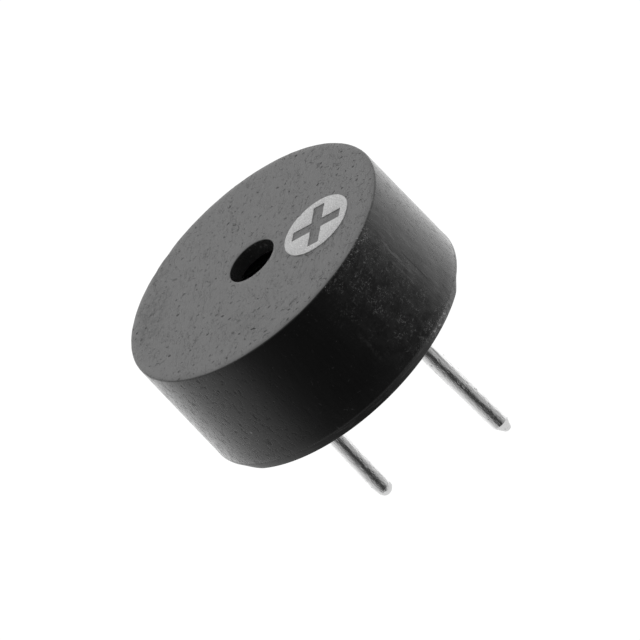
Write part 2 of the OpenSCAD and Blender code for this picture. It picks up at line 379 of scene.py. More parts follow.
def case_plastic():
    m, n, b = material("case_plastic")
    p = n.place()
    x, y, z = n.split(p)
    top = n.range(z, TOP - 0.03, TOP - 0.004)

    # ---- top face: matt, with small dark pits and short scuffs in mixed directions
    flat = n.stretch(p, scale=(1, 1, 0))
    pits = marks(n, flat, 0.26, 0.40, 0.042, 1, wobble=0.22, flat=True)
    pits2 = marks(n, flat, 0.15, 0.30, 0.024, 2, wobble=0.12, flat=True)
    dash1 = marks(n, flat, 0.26, 0.26, 0.026, 3, turn=-62, long=3.0, wobble=0.45, flat=True)
    dash2 = marks(n, flat, 0.30, 0.24, 0.026, 4, turn=-12, long=3.8, wobble=0.6, flat=True)
    dash3 = marks(n, flat, 0.34, 0.20, 0.028, 5, turn=35, long=2.8, wobble=0.6, flat=True)
    dash4 = marks(n, flat, 0.36, 0.20, 0.024, 9, turn=80, long=3.4, wobble=0.5, flat=True)
    fan = n.math("MULTIPLY", scratches(n, flat, 0.16, 0.45, 0.012, 12, -6, 7.0), zone(n, x, y, 3.55, 1.35, 0.85, 0.6))
    hair_a = scratches(n, flat, 0.22, 0.40, 0.011, 41, -40, 6.0)
    hair_b = scratches(n, flat, 0.26, 0.35, 0.011, 42, 20, 5.0)
    hair_top = n.math("MULTIPLY", n.math("MAXIMUM", hair_a, hair_b), n.range(n.noise(flat, 0.8, 2.0, 0.5), 0.35, 0.60))
    scuff = n.math("MAXIMUM", zone(n, x, y, -3.65, -0.2, 0.55, 1.25), zone(n, x, y, -3.65, 2.0, 0.35, 0.6))
    scuff = n.math("MAXIMUM", scuff, n.math("MULTIPLY", zone(n, x, y, 0.45, -3.0, 0.8, 0.7, 0.8), 0.5))
    scuff = n.math("MULTIPLY", scuff, n.range(n.noise(flat, 4.5, 5.0, 0.75), 0.42, 0.60))
    worn = n.math("MAXIMUM", zone(n, x, y, 1.35, -1.1, 0.8, 0.7), zone(n, x, y, 0.45, -3.1, 0.6, 0.6))
    busy = n.math("MULTIPLY_ADD", worn, 0.5, 0.75)
    dash = n.math("MAXIMUM", n.math("MAXIMUM", dash1, dash2), n.math("MAXIMUM", dash3, dash4))
    pit = n.math("MAXIMUM", n.math("MAXIMUM", pits, n.math("MULTIPLY", pits2, 0.7)), n.math("MULTIPLY", dash, busy))
    pit = n.math("MAXIMUM", pit, n.math("MULTIPLY", fan, 0.9))
    pit = n.math("MAXIMUM", pit, n.math("MULTIPLY", hair_top, 0.45))
    fine = n.noise(flat, 16.0, 3.0, 0.6)
    cloud = n.noise(flat, 0.9, 4.0, 0.6)
    grain = n.noise(flat, 34.0, 3.0, 0.6)
    rr = n.math("SQRT", n.math("ADD", n.math("MULTIPLY", x, x), n.math("MULTIPLY", y, y)))
    edge_band = n.math("MULTIPLY", n.range(rr, R_TOP - 0.34, R_TOP - 0.14), n.range(y, 1.0, -2.5))

    # ---- side wall: glossier, with fine streaks along the axis and a dusty, rubbed zone
    wall = n.unroll(p, R)
    u, v, _ = n.split(wall)
    streak = n.noise(n.stretch(wall, scale=(1, 0.12, 1)), 9.0, 4.0, 0.65)
    fstreak = n.noise(n.stretch(wall, scale=(1, 0.22, 1)), 30.0, 3.0, 0.6)
    wpit = marks(n, n.stretch(wall, scale=(1, 0.45, 1)), 0.24, 0.35, 0.026, 6, wobble=0.2, flat=True)
    wgrain = n.noise(p, 30.0, 3.0, 0.6)
    deg = n.math("MULTIPLY", u, math.degrees(1.0 / R))
    dust_zone = n.math("MULTIPLY", n.range(deg, -56.0, -36.0), n.range(deg, -9.0, -20.0))
    dust_zone = n.math("MULTIPLY", dust_zone, n.math("MULTIPLY_ADD", n.range(v, 0.6, 3.6), 0.65, 0.35))
    patchy = n.range(n.noise(wall, 1.6, 3.0, 0.6), 0.40, 0.62)
    speck = marks(n, wall, 0.11, 0.40, 0.026, 14, wobble=0.12, flat=True)
    crumb = n.range(n.noise(wall, 12.0, 5.0, 0.80), 0.51, 0.64)
    hair = scratches(n, wall, 0.40, 0.26, 0.014, 16, 64, 6.0, 0.3)
    hair2 = scratches(n, wall, 0.34, 0.24, 0.014, 19, 100, 5.0, 0.3)
    dust = n.math("MAXIMUM", n.math("MAXIMUM", n.math("MULTIPLY", speck, 0.7), crumb), n.math("MULTIPLY", n.math("MAXIMUM", hair, hair2), 0.7))
    bright = n.range(n.noise(wall, 4.0, 3.0, 0.6), 0.44, 0.66)
    dust = n.math("MULTIPLY", n.math("MULTIPLY_ADD", patchy, 0.75, 0.20), n.math("MULTIPLY", dust_zone, n.math("MULTIPLY", dust, n.math("MULTIPLY_ADD", bright, 1.7, 0.40))))
    everywhere = n.math("MULTIPLY", n.range(n.noise(wall, 15.0, 4.0, 0.75), 0.60, 0.72), n.range(n.noise(wall, 1.9, 3.0, 0.6), 0.44, 0.66))
    dust = n.math("ADD", dust, n.math("MULTIPLY", everywhere, 0.34))
    # three heaps of brighter crumbs: under the rim, by the lower edge, and between them
    wisp = n.range(n.noise(n.stretch(wall, turn=(0, 0, 8), scale=(1, 0.25, 1)), 7.0, 4.0, 0.65), 0.50, 0.66)
    beyond = n.math("MULTIPLY", n.range(deg, -22.0, -12.0), n.range(deg, 50.0, 15.0))
    dust = n.math("ADD", dust, n.math("MULTIPLY", wisp, n.math("MULTIPLY", beyond, 0.26)))
    heap = n.math("MAXIMUM", zone(n, deg, v, -25.0, 3.72, 9.0, 0.13, 0.9), zone(n, deg, v, -25.0, 0.30, 9.0, 0.14, 0.9))
    heap = n.math("MAXIMUM", heap, n.math("MULTIPLY", zone(n, deg, v, -34.0, 1.05, 3.4, 0.25, 0.95), 0.55))
    grit = n.range(n.noise(wall, 10.0, 5.0, 0.8), 0.53, 0.64)
    loose = n.range(n.noise(wall, 3.2, 3.0, 0.6), 0.42, 0.60)
    dust = n.math("ADD", dust, n.math("MULTIPLY", n.math("MULTIPLY", heap, loose), n.math("MULTIPLY", grit, 5.0)))
    # a light scratch with a short dark line beside it, where the dusty zone ends
    pale = n.math("MAXIMUM", wall_line(n, deg, v, -16.5, 1.1, 1.7, 3.2, 0.15), n.math("MULTIPLY", wall_line(n, deg, v, -19.5, 0.8, 1.3, 2.6, 0.2), 0.6))
    pale = n.math("MULTIPLY", pale, n.range(n.noise(n.stretch(wall, scale=(1, 0.2, 1)), 16.0, 3.0, 0.6), 0.38, 0.60))
    black = wall_line(n, deg, v, -12.6, 0.45, 1.1, 2.4)
    pale = n.math("MAXIMUM", pale, n.math("MULTIPLY", zone(n, deg, v, -107.2, 1.43, 0.55, 0.035), 3.0))
    dust = n.math("ADD", dust, n.math("MULTIPLY", pale, 0.55))
    # painted highlight: a light line along the seam on the side facing the camera; the wall is also made lighter
    # towards its foot there. The hairs and the fold are real marks.
    front = n.math("MULTIPLY", n.range(deg, -100.0, -80.0), n.range(deg, -12.0, -26.0))
    painted_seam_highlight = n.math("MULTIPLY", n.math("MULTIPLY", front, n.range(v, 0.295, 0.235)), n.math("MULTIPLY_ADD", n.noise(wall, 9.0, 3.0, 0.6), 1.0, 0.5))
    hairs = n.math("MAXIMUM", scratches(n, wall, 0.30, 0.80, 0.016, 51, 25, 4.0, 0.7), scratches(n, wall, 0.26, 0.75, 0.016, 52, -55, 3.5, 0.7))
    hairs = n.math("MULTIPLY", n.math("MULTIPLY", hairs, zone(n, deg, v, -68.0, 1.05, 11.0, 0.85, 0.6)), n.range(n.noise(wall, 5.0, 3.0, 0.6), 0.36, 0.60))
    fold = n.math("MULTIPLY", wall_line(n, deg, v, -49.6, 1.0, 0.9, 2.1, 0.3), n.range(n.noise(wall, 9.0, 3.0, 0.6), 0.40, 0.60))
    foot = n.math("MULTIPLY", n.math("MULTIPLY", n.range(deg, -84.0, -70.0), n.range(deg, -40.0, -54.0)), n.math("MULTIPLY_ADD", n.range(v, 1.0, 0.3), 0.7, 0.35))
    tone_with_painted_light = n.math("ADD", n.math("MULTIPLY", painted_seam_highlight, 0.028), n.math("ADD", n.math("MULTIPLY", hairs, 0.060), n.math("MULTIPLY", fold, 0.011)))
    tone_with_painted_light = n.math("ADD", tone_with_painted_light, n.math("MULTIPLY", foot, 0.005))

    # tiny bright specks on the rim, where the edge is nicked
    nick = marks(n, wall, 0.13, 0.22, 0.016, 18, wobble=0.05, flat=True)
    at_rim = n.math("MULTIPLY", n.range(v, TOP - 0.10, TOP - 0.05), n.range(deg, -100.0, -70.0))
    nick = n.math("MULTIPLY", nick, n.math("MULTIPLY", at_rim, n.range(deg, 15.0, -10.0)))

    # the specular tint carries painted shade on the side facing the camera, and the real scuffs
    reflect_with_painted_shade, scuffed = wall_scuffs_and_painted_shade(n, wall, deg, v)
    b_top = n.math("MULTIPLY_ADD", cloud, 0.016, 0.046)
    b_top = n.math("ADD", b_top, n.math("MULTIPLY_ADD", grain, 0.034, -0.017))
    b_top = n.math("ADD", b_top, n.math("MULTIPLY", edge_band, 0.008))
    b_top = n.math("SUBTRACT", b_top, n.math("MULTIPLY", scuff, 0.015))
    rub_a = n.range(n.noise(n.stretch(flat, turn=(0, 0, 52), scale=(1, 0.36, 1)), 8.0, 5.0, 0.74), 0.52, 0.65)
    rub_b = n.range(n.noise(n.stretch(flat, turn=(0, 0, -20), scale=(1, 0.36, 1)), 9.0, 5.0, 0.74), 0.54, 0.66)
    rub = n.math("MULTIPLY", n.math("MAXIMUM", rub_a, rub_b), n.math("MULTIPLY_ADD", n.range(n.noise(flat, 1.3, 3.0, 0.6), 0.40, 0.60), 0.7, 0.3))
    b_top = n.math("MULTIPLY", b_top, n.math("MULTIPLY_ADD", pit, -0.62, 1.0))
    b_top = n.math("MULTIPLY", b_top, n.math("MULTIPLY_ADD", rub, -0.42, 1.0))
    b_wall = n.math("MULTIPLY_ADD", streak, 0.005, 0.0056)
    b_wall = n.math("ADD", b_wall, n.math("MULTIPLY_ADD", dust, 0.10, tone_with_painted_light))
    b_wall = n.math("MULTIPLY", b_wall, n.math("SUBTRACT", 1.0, n.math("MULTIPLY", black, 0.8)))
    # painted light in the sound hole: the bore gets a lighter tone, lighter and speckled on the side to the camera's
    # right
    within = n.math("MULTIPLY", n.range(rr, 1.1, 0.9), n.range(z, 2.0, 2.4))
    bore_lit_side = n.range(n.math("MULTIPLY_ADD", x, 0.851, n.math("MULTIPLY", y, 0.525)), -0.25, 0.45)
    painted_light_specks = n.range(n.noise(p, 6.5, 4.0, 0.75), 0.50, 0.66)
    b_hole_painted_light = n.math("MULTIPLY_ADD", n.math("MULTIPLY", painted_light_specks, n.math("MULTIPLY_ADD", bore_lit_side, 0.85, 0.15)), 0.050, n.math("MULTIPLY_ADD", bore_lit_side, 0.006, 0.017))
    b_wall = n.fmix(within, b_wall, b_hole_painted_light)
    b_wall = n.math("ADD", b_wall, n.math("MULTIPLY", nick, 0.22))
    n.put(b.inputs["Base Color"], n.grey(n.fmix(top, b_wall, b_top)))

    r_top = n.math("ADD", n.math("MULTIPLY_ADD", fine, 0.14, 0.33), n.math("MULTIPLY", pit, 0.35))
    r_top = n.math("ADD", r_top, n.math("MULTIPLY", scuff, 0.10))
    r_wall = n.math("ADD", n.math("MULTIPLY_ADD", streak, 0.18, 0.13), n.math("MULTIPLY", wpit, 0.25))
    r_wall = n.math("ADD", r_wall, n.math("MULTIPLY", n.math("MINIMUM", dust, 1.0), 0.35))
    r_wall = n.math("ADD", r_wall, n.math("MULTIPLY", scuffed, 0.26))
    n.put(b.inputs["Roughness"], n.fmix(top, r_wall, r_top))

    reflect_with_painted_shade = n.math("MULTIPLY", reflect_with_painted_shade, n.math("SUBTRACT", 1.0, n.math("MULTIPLY", black, 0.6)))
    # painted shade in the sound hole: its reflection is cut by 80 %
    painted_hole_shade = n.range(rr, 1.1, 0.9)
    reflect_with_painted_shade = n.math("MULTIPLY", reflect_with_painted_shade, n.math("MULTIPLY_ADD", painted_hole_shade, -0.8, 1.0))
    n.put(b.inputs["Specular Tint"], n.grey(n.fmix(top, reflect_with_painted_shade, 1.0)))

    h_top = n.math("ADD", n.math("ADD", n.math("MULTIPLY", pit, -0.016), n.math("MULTIPLY", rub, -0.0095)),
                   n.math("ADD", n.math("MULTIPLY", fine, 0.0052), n.math("MULTIPLY", grain, 0.0024)))
    h_wall = n.math("ADD", n.math("MULTIPLY", wpit, -0.004),
                    n.math("ADD", n.math("MULTIPLY", streak, 0.0025), n.math("MULTIPLY", wgrain, 0.0006)))
    h_wall = n.math("ADD", h_wall, n.math("ADD", n.math("MULTIPLY", fstreak, 0.0012), n.math("MULTIPLY", dust, 0.004)))
    h_wall = n.math("ADD", h_wall, n.math("MULTIPLY", scuffed, -0.0065))
    n.put(b.inputs["Normal"], n.bump(n.fmix(top, h_wall, h_top), MM))
    return m


def base_plastic():
    m, n, b = material("base_plastic")
    p = n.place()
    fine = n.noise(p, 14.0, 3.0, 0.6)
    cloud = n.noise(p, 1.6, 3.0, 0.5)
    pit = marks(n, p, 0.28, 0.25, 0.03, 8, wobble=0.2)
    x, y, z = n.split(p)
    side = n.range(n.math("SQRT", n.math("ADD", n.math("MULTIPLY", x, x), n.math("MULTIPLY", y, y))), R - 0.16, R - 0.04)
    wall = n.unroll(p, R)
    u, v, _ = n.split(wall)
    deg = n.math("MULTIPLY", u, math.degrees(1.0 / R))
    grit = n.math("MULTIPLY", n.range(n.noise(wall, 10.0, 5.0, 0.8), 0.50, 0.62), zone(n, deg, v, -24.0, 0.2, 7.0, 0.3))
    wipe = n.range(n.noise(n.stretch(wall, scale=(0.12, 1, 1)), 12.0, 3.0, 0.6), 0.50, 0.70)
    colour = n.math("MULTIPLY_ADD", cloud, 0.006, 0.006)
    # painted light: the base's side is made lighter at angles towards the camera, where it catches light, and its wipe
    # streaks are lighter there too
    front = n.math("MULTIPLY", n.range(deg, -100.0, -70.0), n.range(deg, -10.0, -30.0))
    colour = n.math("ADD", colour, n.math("MULTIPLY", wipe, n.math("MULTIPLY_ADD", front, 0.020, 0.012)))
    tone_with_painted_light = n.math("ADD", n.math("MULTIPLY", n.math("MULTIPLY", n.range(deg, -100.0, -80.0), n.range(deg, -10.0, -30.0)), 0.015),
                  n.math("MULTIPLY", n.math("MULTIPLY", n.range(deg, -66.0, -32.0), n.range(deg, -10.0, -28.0)), 0.024))
    tone_with_painted_light = n.math("ADD", tone_with_painted_light, n.math("MULTIPLY", n.math("MULTIPLY", n.range(deg, -86.0, -104.0), n.range(deg, -150.0, -115.0)), 0.028))
    colour = n.math("ADD", colour, n.math("MULTIPLY", tone_with_painted_light, n.math("MULTIPLY_ADD", fine, 0.5, 0.75)))
    pale = n.math("MULTIPLY", n.range(deg, -34.0, -14.0), n.range(deg, 25.0, 0.0))
    pale = n.math("MULTIPLY", pale, n.range(n.noise(wall, 6.0, 4.0, 0.7), 0.34, 0.62))
    colour = n.math("ADD", colour, n.math("MULTIPLY_ADD", pale, 0.11, n.math("MULTIPLY", grit, 0.30)))
    dull = n.range(n.noise(n.stretch(p, scale=(1, 1, 0)), 1.1, 4.0, 0.65), 0.40, 0.62)
    rub = scratches(n, n.stretch(p, scale=(1, 1, 0)), 0.45, 0.30, 0.012, 71, 35, 6.0, 0.3)
    under = n.math("ADD", n.math("MULTIPLY_ADD", dull, 0.008, 0.008), n.math("MULTIPLY_ADD", rub, 0.020, n.math("MULTIPLY", pit, -0.003)))
    n.put(b.inputs["Base Color"], n.grey(n.fmix(side, under, colour)))
    n.put(b.inputs["Roughness"], n.math("ADD", n.math("MULTIPLY_ADD", fine, 0.16, 0.16),
                                        n.math("ADD", n.math("MULTIPLY", pit, 0.3), n.math("MULTIPLY", n.fmix(side, dull, 0.0), 0.14))))
    # the base's specular tint carries the same painted shade on the side facing the camera
    reflect_with_painted_shade, _ = wall_scuffs_and_painted_shade(n, wall, deg, v)
    n.put(b.inputs["Specular Tint"], n.grey(n.fmix(side, n.math("MULTIPLY_ADD", dull, -0.25, 0.85), n.math("MULTIPLY_ADD", reflect_with_painted_shade, 0.75, 0.22))))
    h = n.math("ADD", n.math("MULTIPLY", pit, -0.004), n.math("MULTIPLY", fine, 0.002))
    n.put(b.inputs["Normal"], n.bump(h, MM))
    return m


def mark_ink():
    m, n, b = material("mark_ink")
    p = n.place()
    x, y, z = n.split(p)
    flat = n.stretch(p, scale=(1, 1, 0))
    fine = n.noise(flat, 20.0, 5.0, 0.80)
    coarse = n.noise(flat, 9.0, 3.0, 0.6)
    cloud = n.noise(flat, 2.0, 2.0, 0.5)
    dark = marks(n, flat, 0.11, 0.40, 0.020, 21, wobble=0.08, flat=True)
    light = marks(n, flat, 0.13, 0.30, 0.022, 22, wobble=0.06, flat=True)
    corner = zone(n, x, y, MARK_X - 0.35, -0.85, 0.5, 0.35)
    v = n.math("MULTIPLY_ADD", n.range(fine, 0.34, 0.66), 0.30, 0.21)
    v = n.math("ADD", v, n.math("MULTIPLY_ADD", coarse, 0.10, -0.05))
    v = n.math("ADD", v, n.math("MULTIPLY", cloud, 0.06))
    v = n.math("SUBTRACT", v, n.math("MULTIPLY", dark, 0.09))
    v = n.math("ADD", v, n.math("MULTIPLY", light, n.math("MULTIPLY_ADD", corner, 0.30, 0.06)))
    n.put(b.inputs["Base Color"], n.grey(v))
    n.put(b.inputs["Roughness"], n.math("MULTIPLY_ADD", fine, 0.3, 0.45))
    n.put(b.inputs["Normal"], n.bump(n.math("ADD", fine, n.math("MULTIPLY", dark, -0.8)), MM * 0.006))
    return m


def tinned_wire():
    m, n, b = material("tinned_wire", metallic=1.0)
    p = n.place()
    drawn = n.stretch(p, scale=(1, 1, 0.07))
    lines = n.noise(drawn, 13.0, 4.0, 0.65)
    skin = n.noise(n.stretch(p, scale=(1, 1, 0.4)), 9.0, 3.0, 0.65)
    pit = marks(n, n.stretch(p, scale=(1, 1, 0.5)), 0.14, 0.42, 0.034, 11, wobble=0.2)
    cloud = n.noise(p, 5.0, 3.0, 0.6)
    v = n.math("MULTIPLY_ADD", cloud, 0.10, 0.72)
    x, y, z = n.split(p)
    cx = n.math("MULTIPLY_ADD", z, -math.tan(math.radians(2.4)), 2.05)
    around = n.math("MULTIPLY", n.math("ARCTAN2", y, n.math("SUBTRACT", x, cx)), math.degrees(1.0))
    sway = n.math("MULTIPLY_ADD", n.noise(n.stretch(p, scale=(1, 1, 0.35)), 5.0, 3.0, 0.6), 12.0, 20.0)
    # a thin dark line along the upper part of the positive lead, at one angle round it, fading out towards z -2.9
    dark_line = n.math("MULTIPLY", n.range(n.math("ABSOLUTE", n.math("ADD", around, sway)), 7.0, 2.5), n.range(z, -2.9, -1.0))
    dark_line = n.math("MULTIPLY", dark_line, n.range(x, 1.0, 1.2))
    v = n.math("MULTIPLY", v, n.math("MULTIPLY_ADD", dark_line, -0.6, 1.0))
    n.put(b.inputs["Base Color"], n.grey(n.math("SUBTRACT", v, n.math("MULTIPLY", pit, 0.30))))
    n.put(b.inputs["Roughness"], n.math("ADD", n.math("MULTIPLY_ADD", lines, 0.12, 0.12), n.math("MULTIPLY", pit, 0.2)))
    h = n.math("ADD", n.math("MULTIPLY", lines, 0.007), n.math("MULTIPLY", pit, -0.008))
    h = n.math("ADD", h, n.math("MULTIPLY", skin, 0.019))
    n.put(b.inputs["Normal"], n.bump(h, MM))
    return m


def sealing_compound():
    m, n, b = material("sealing_compound")
    p = n.place()
    fine = n.noise(p, 12.0, 3.0, 0.6)
    n.put(b.inputs["Base Color"], n.grey(n.math("MULTIPLY_ADD", fine, 0.010, 0.010)))
    n.put(b.inputs["Roughness"], n.math("MULTIPLY_ADD", fine, 0.15, 0.12))
    n.put(b.inputs["Normal"], n.bump(fine, MM * 0.004))
    return m


def diaphragm_metal():
    """A rolled foil, painted dark in its middle as shade under the sound hole, matt and lighter towards its rim."""
    m, n, b = material("diaphragm_metal", metallic=0.15)
    p = n.place()
    x, y, z = n.split(p)
    rr = n.math("SQRT", n.math("ADD", n.math("MULTIPLY", x, x), n.math("MULTIPLY", y, y)))
    grain = n.noise(n.stretch(p, scale=(1, 0.1, 1)), 10.0, 3.0, 0.6)
    # painted shade: dark inside r 0.84, the part seen through the sound hole; bare light metal beyond
    ring = n.range(n.math("MULTIPLY_ADD", n.noise(p, 5.0, 3.0, 0.6), 0.08, rr), 0.84, 1.06)
    v = n.fmix(ring, n.math("MULTIPLY_ADD", grain, 0.03, 0.05), n.math("MULTIPLY_ADD", grain, 0.14, 0.68))
    n.put(b.inputs["Base Color"], n.grey(v, (1.0, 1.0, 0.99)))
    n.put(b.inputs["Roughness"], n.math("MULTIPLY_ADD", grain, 0.2, 0.35))
    n.put(b.inputs["Normal"], n.bump(grain, MM * 0.002))
    return m


def simple(name, low, high, rough=(0.3, 0.5), metallic=0.0, scale=8.0, depth=0.003, squash=(1, 1, 1), ior=1.5):
    """A finish for a piece inside the body: mottled colour, uneven gloss and a fine relief."""
    m, n, b = material(name, metallic=metallic, ior=ior)
    p = n.place()
    q = n.stretch(p, scale=squash)
    fine = n.noise(q, scale, 4.0, 0.6)
    spot = marks(n, p, 0.25, 0.3, 0.04, len(name), wobble=0.2)
    t = n.range(fine, 0.3, 0.7)
    n.put(b.inputs["Base Color"], n.mix(t, (*low, 1.0), (*high, 1.0)))
    n.put(b.inputs["Roughness"], n.math("ADD", n.math("MULTIPLY_ADD", fine, rough[1] - rough[0], rough[0]), n.math("MULTIPLY", spot, 0.15)))
    h = n.math("SUBTRACT", fine, n.math("MULTIPLY", spot, 0.6))
    n.put(b.inputs["Normal"], n.bump(h, MM * depth))
    return m


# ------------------------------------------------------------------ meshes


def mesh_from(name, verts, faces, mat, sharp=32.0):
    """A shaded object from vertices in mm and faces."""
    me = bpy.data.meshes.new(name)
    me.from_pydata([tuple(c * MM for c in v) for v in verts], [], faces)
    me.validate()
    bm = bmesh.new()
    bm.from_mesh(me)
    bmesh.ops.remove_doubles(bm, verts=bm.verts, dist=2e-7)
    bmesh.ops.recalc_face_normals(bm, faces=bm.faces)
    bm.to_mesh(me)
    bm.free()
    me.polygons.foreach_set("use_smooth", [True] * len(me.polygons))
    me.set_sharp_from_angle(angle=math.radians(sharp))
    obj = bpy.data.objects.new(name, me)
    bpy.context.scene.collection.objects.link(obj)
    give(obj, mat)
    return obj


def arc(cx, cz, r, a0, a1, steps):
    """Points of an arc in the (r, z) plane."""
    return [(cx + r * math.cos(math.radians(a0 + (a1 - a0) * i / steps)),
             cz + r * math.sin(math.radians(a0 + (a1 - a0) * i / steps))) for i in range(steps + 1)]


def line(a, b, steps):
    """Points between a and b, without the two ends."""
    return [(a[0] + (b[0] - a[0]) * i / steps, a[1] + (b[1] - a[1]) * i / steps) for i in range(1, steps)]


def lathe(name, profile, seg, mat, shift=None, sharp=32.0, at=(0.0, 0.0)):
    """A closed ring of a closed profile of (r, z), or a capped solid where r is 0.
    shift(angle in degrees, r, z) gives the changes of r and z."""
    th = np.arange(seg) * 2 * math.pi / seg
    prof = np.array(profile, float)
    k = len(prof)
    deg = np.degrees(th)
    verts, index = [], np.zeros((seg, k), int)
    poles = {}
    for j in range(k):
        r, z = prof[j]
        if r < 1e-9:
            poles[j] = len(verts)
            index[:, j] = len(verts)
            verts.append((at[0], at[1], z))
            continue
        rr, zz = np.full(seg, r), np.full(seg, z)
        if shift is not None:
            dr, dz = shift(deg, r, z)
            rr, zz = rr + dr, zz + dz
        for i in range(seg):
            index[i, j] = len(verts)
            verts.append((at[0] + rr[i] * math.cos(th[i]), at[1] + rr[i] * math.sin(th[i]), zz[i]))
    faces = []
    closed = not poles
    for i in range(seg):
        i2 = (i + 1) % seg
        for j in range(k if closed else k - 1):
            j2 = (j + 1) % k
            quad = [index[i, j], index[i2, j], index[i2, j2], index[i, j2]]
            out = []
            for q in quad:
                if q not in out:
                    out.append(int(q))
            if len(out) >= 3:
                faces.append(out)
    return mesh_from(name, verts, faces, mat, sharp)


def wave(deg, seed, turns, z=0.0):
    """Smooth noise round a circle, from about -1 to 1."""
    out = np.zeros(len(deg))
    for i, d in enumerate(deg):
        a = math.radians(d)
        out[i] = noise.noise(Vector((math.cos(a) * turns, math.sin(a) * turns, seed * 5.17 + z))) * 1.6
    return out


def build_case(mat):
    zc = TOP - TOP_T
    outer = arc(R - SEAM_EDGE, SEAM + SEAM_EDGE, SEAM_EDGE, -90, 0, 4)
    outer += line(outer[-1], (R_TOP, TOP - RIM_R), 14)
    outer += arc(R_TOP - RIM_R, TOP - RIM_R, RIM_R, 0, 90, 7)
    top = line((R_TOP - RIM_R, TOP), (HOLE_R + EDGE, TOP), 22)
    mouth = arc(HOLE_R + EDGE, TOP - EDGE, EDGE, 90, 180, 4)
    hole = line(mouth[-1], (HOLE_R, zc + EDGE), 6)
    inner_edge = arc(HOLE_R + EDGE, zc + EDGE, EDGE, 180, 270, 3)
    ceiling = line(inner_edge[-1], (CHAMBER_R - 0.1, zc), 6)
    corner = arc(CHAMBER_R - 0.1, zc - 0.1, 0.1, 90, 0, 4)
    chamber = line(corner[-1], (CHAMBER_R, STEP_Z), 3)
    shoulder = [(CHAMBER_R, STEP_Z), (BORE_R, STEP_Z)]
    bore = line((BORE_R, STEP_Z), (BORE_R, SEAM + EDGE), 5)
    lip = [(BORE_R, SEAM + EDGE), (BORE_R + EDGE, SEAM)]
    under = line((BORE_R + EDGE, SEAM), (R - SEAM_EDGE, SEAM), 2)
    profile = outer + top + mouth + hole + inner_edge + ceiling + corner + chamber + shoulder + bore + lip + under

    def shift(deg, r, z):
        dr, dz = np.zeros(len(deg)), np.zeros(len(deg))
        if z > TOP - RIM_R - 0.001 and r > R_TOP - CROWN_W:
            dz -= CROWN_H * min(1.0, (r - R_TOP + CROWN_W) / (CROWN_W - RIM_R)) ** 2
        if r > wall_r(z) - 0.06:               # outer wall: very slight moulding waves
            dr -= 0.0015 + 0.0015 * wave(deg, 1, 3.0, z * 0.5)
        if r > R_TOP - RIM_R - 0.001 and z > TOP - RIM_R - 0.001:   # uneven rim
            k = 0.5 + 0.5 * wave(deg, 2, 9.0)
            dr -= 0.006 * k
            dz -= 0.004 * k * (r > R_TOP - RIM_R + 0.001)
            # the rim is worn back a little on both sides of a short high spot
            d = np.abs(ang(deg, 148.0))
            dr -= 0.022 * np.exp(-((d - 4.5) / 2.2) ** 2)
        return dr, dz

    return lathe("case_shell", profile, 512, mat, shift)


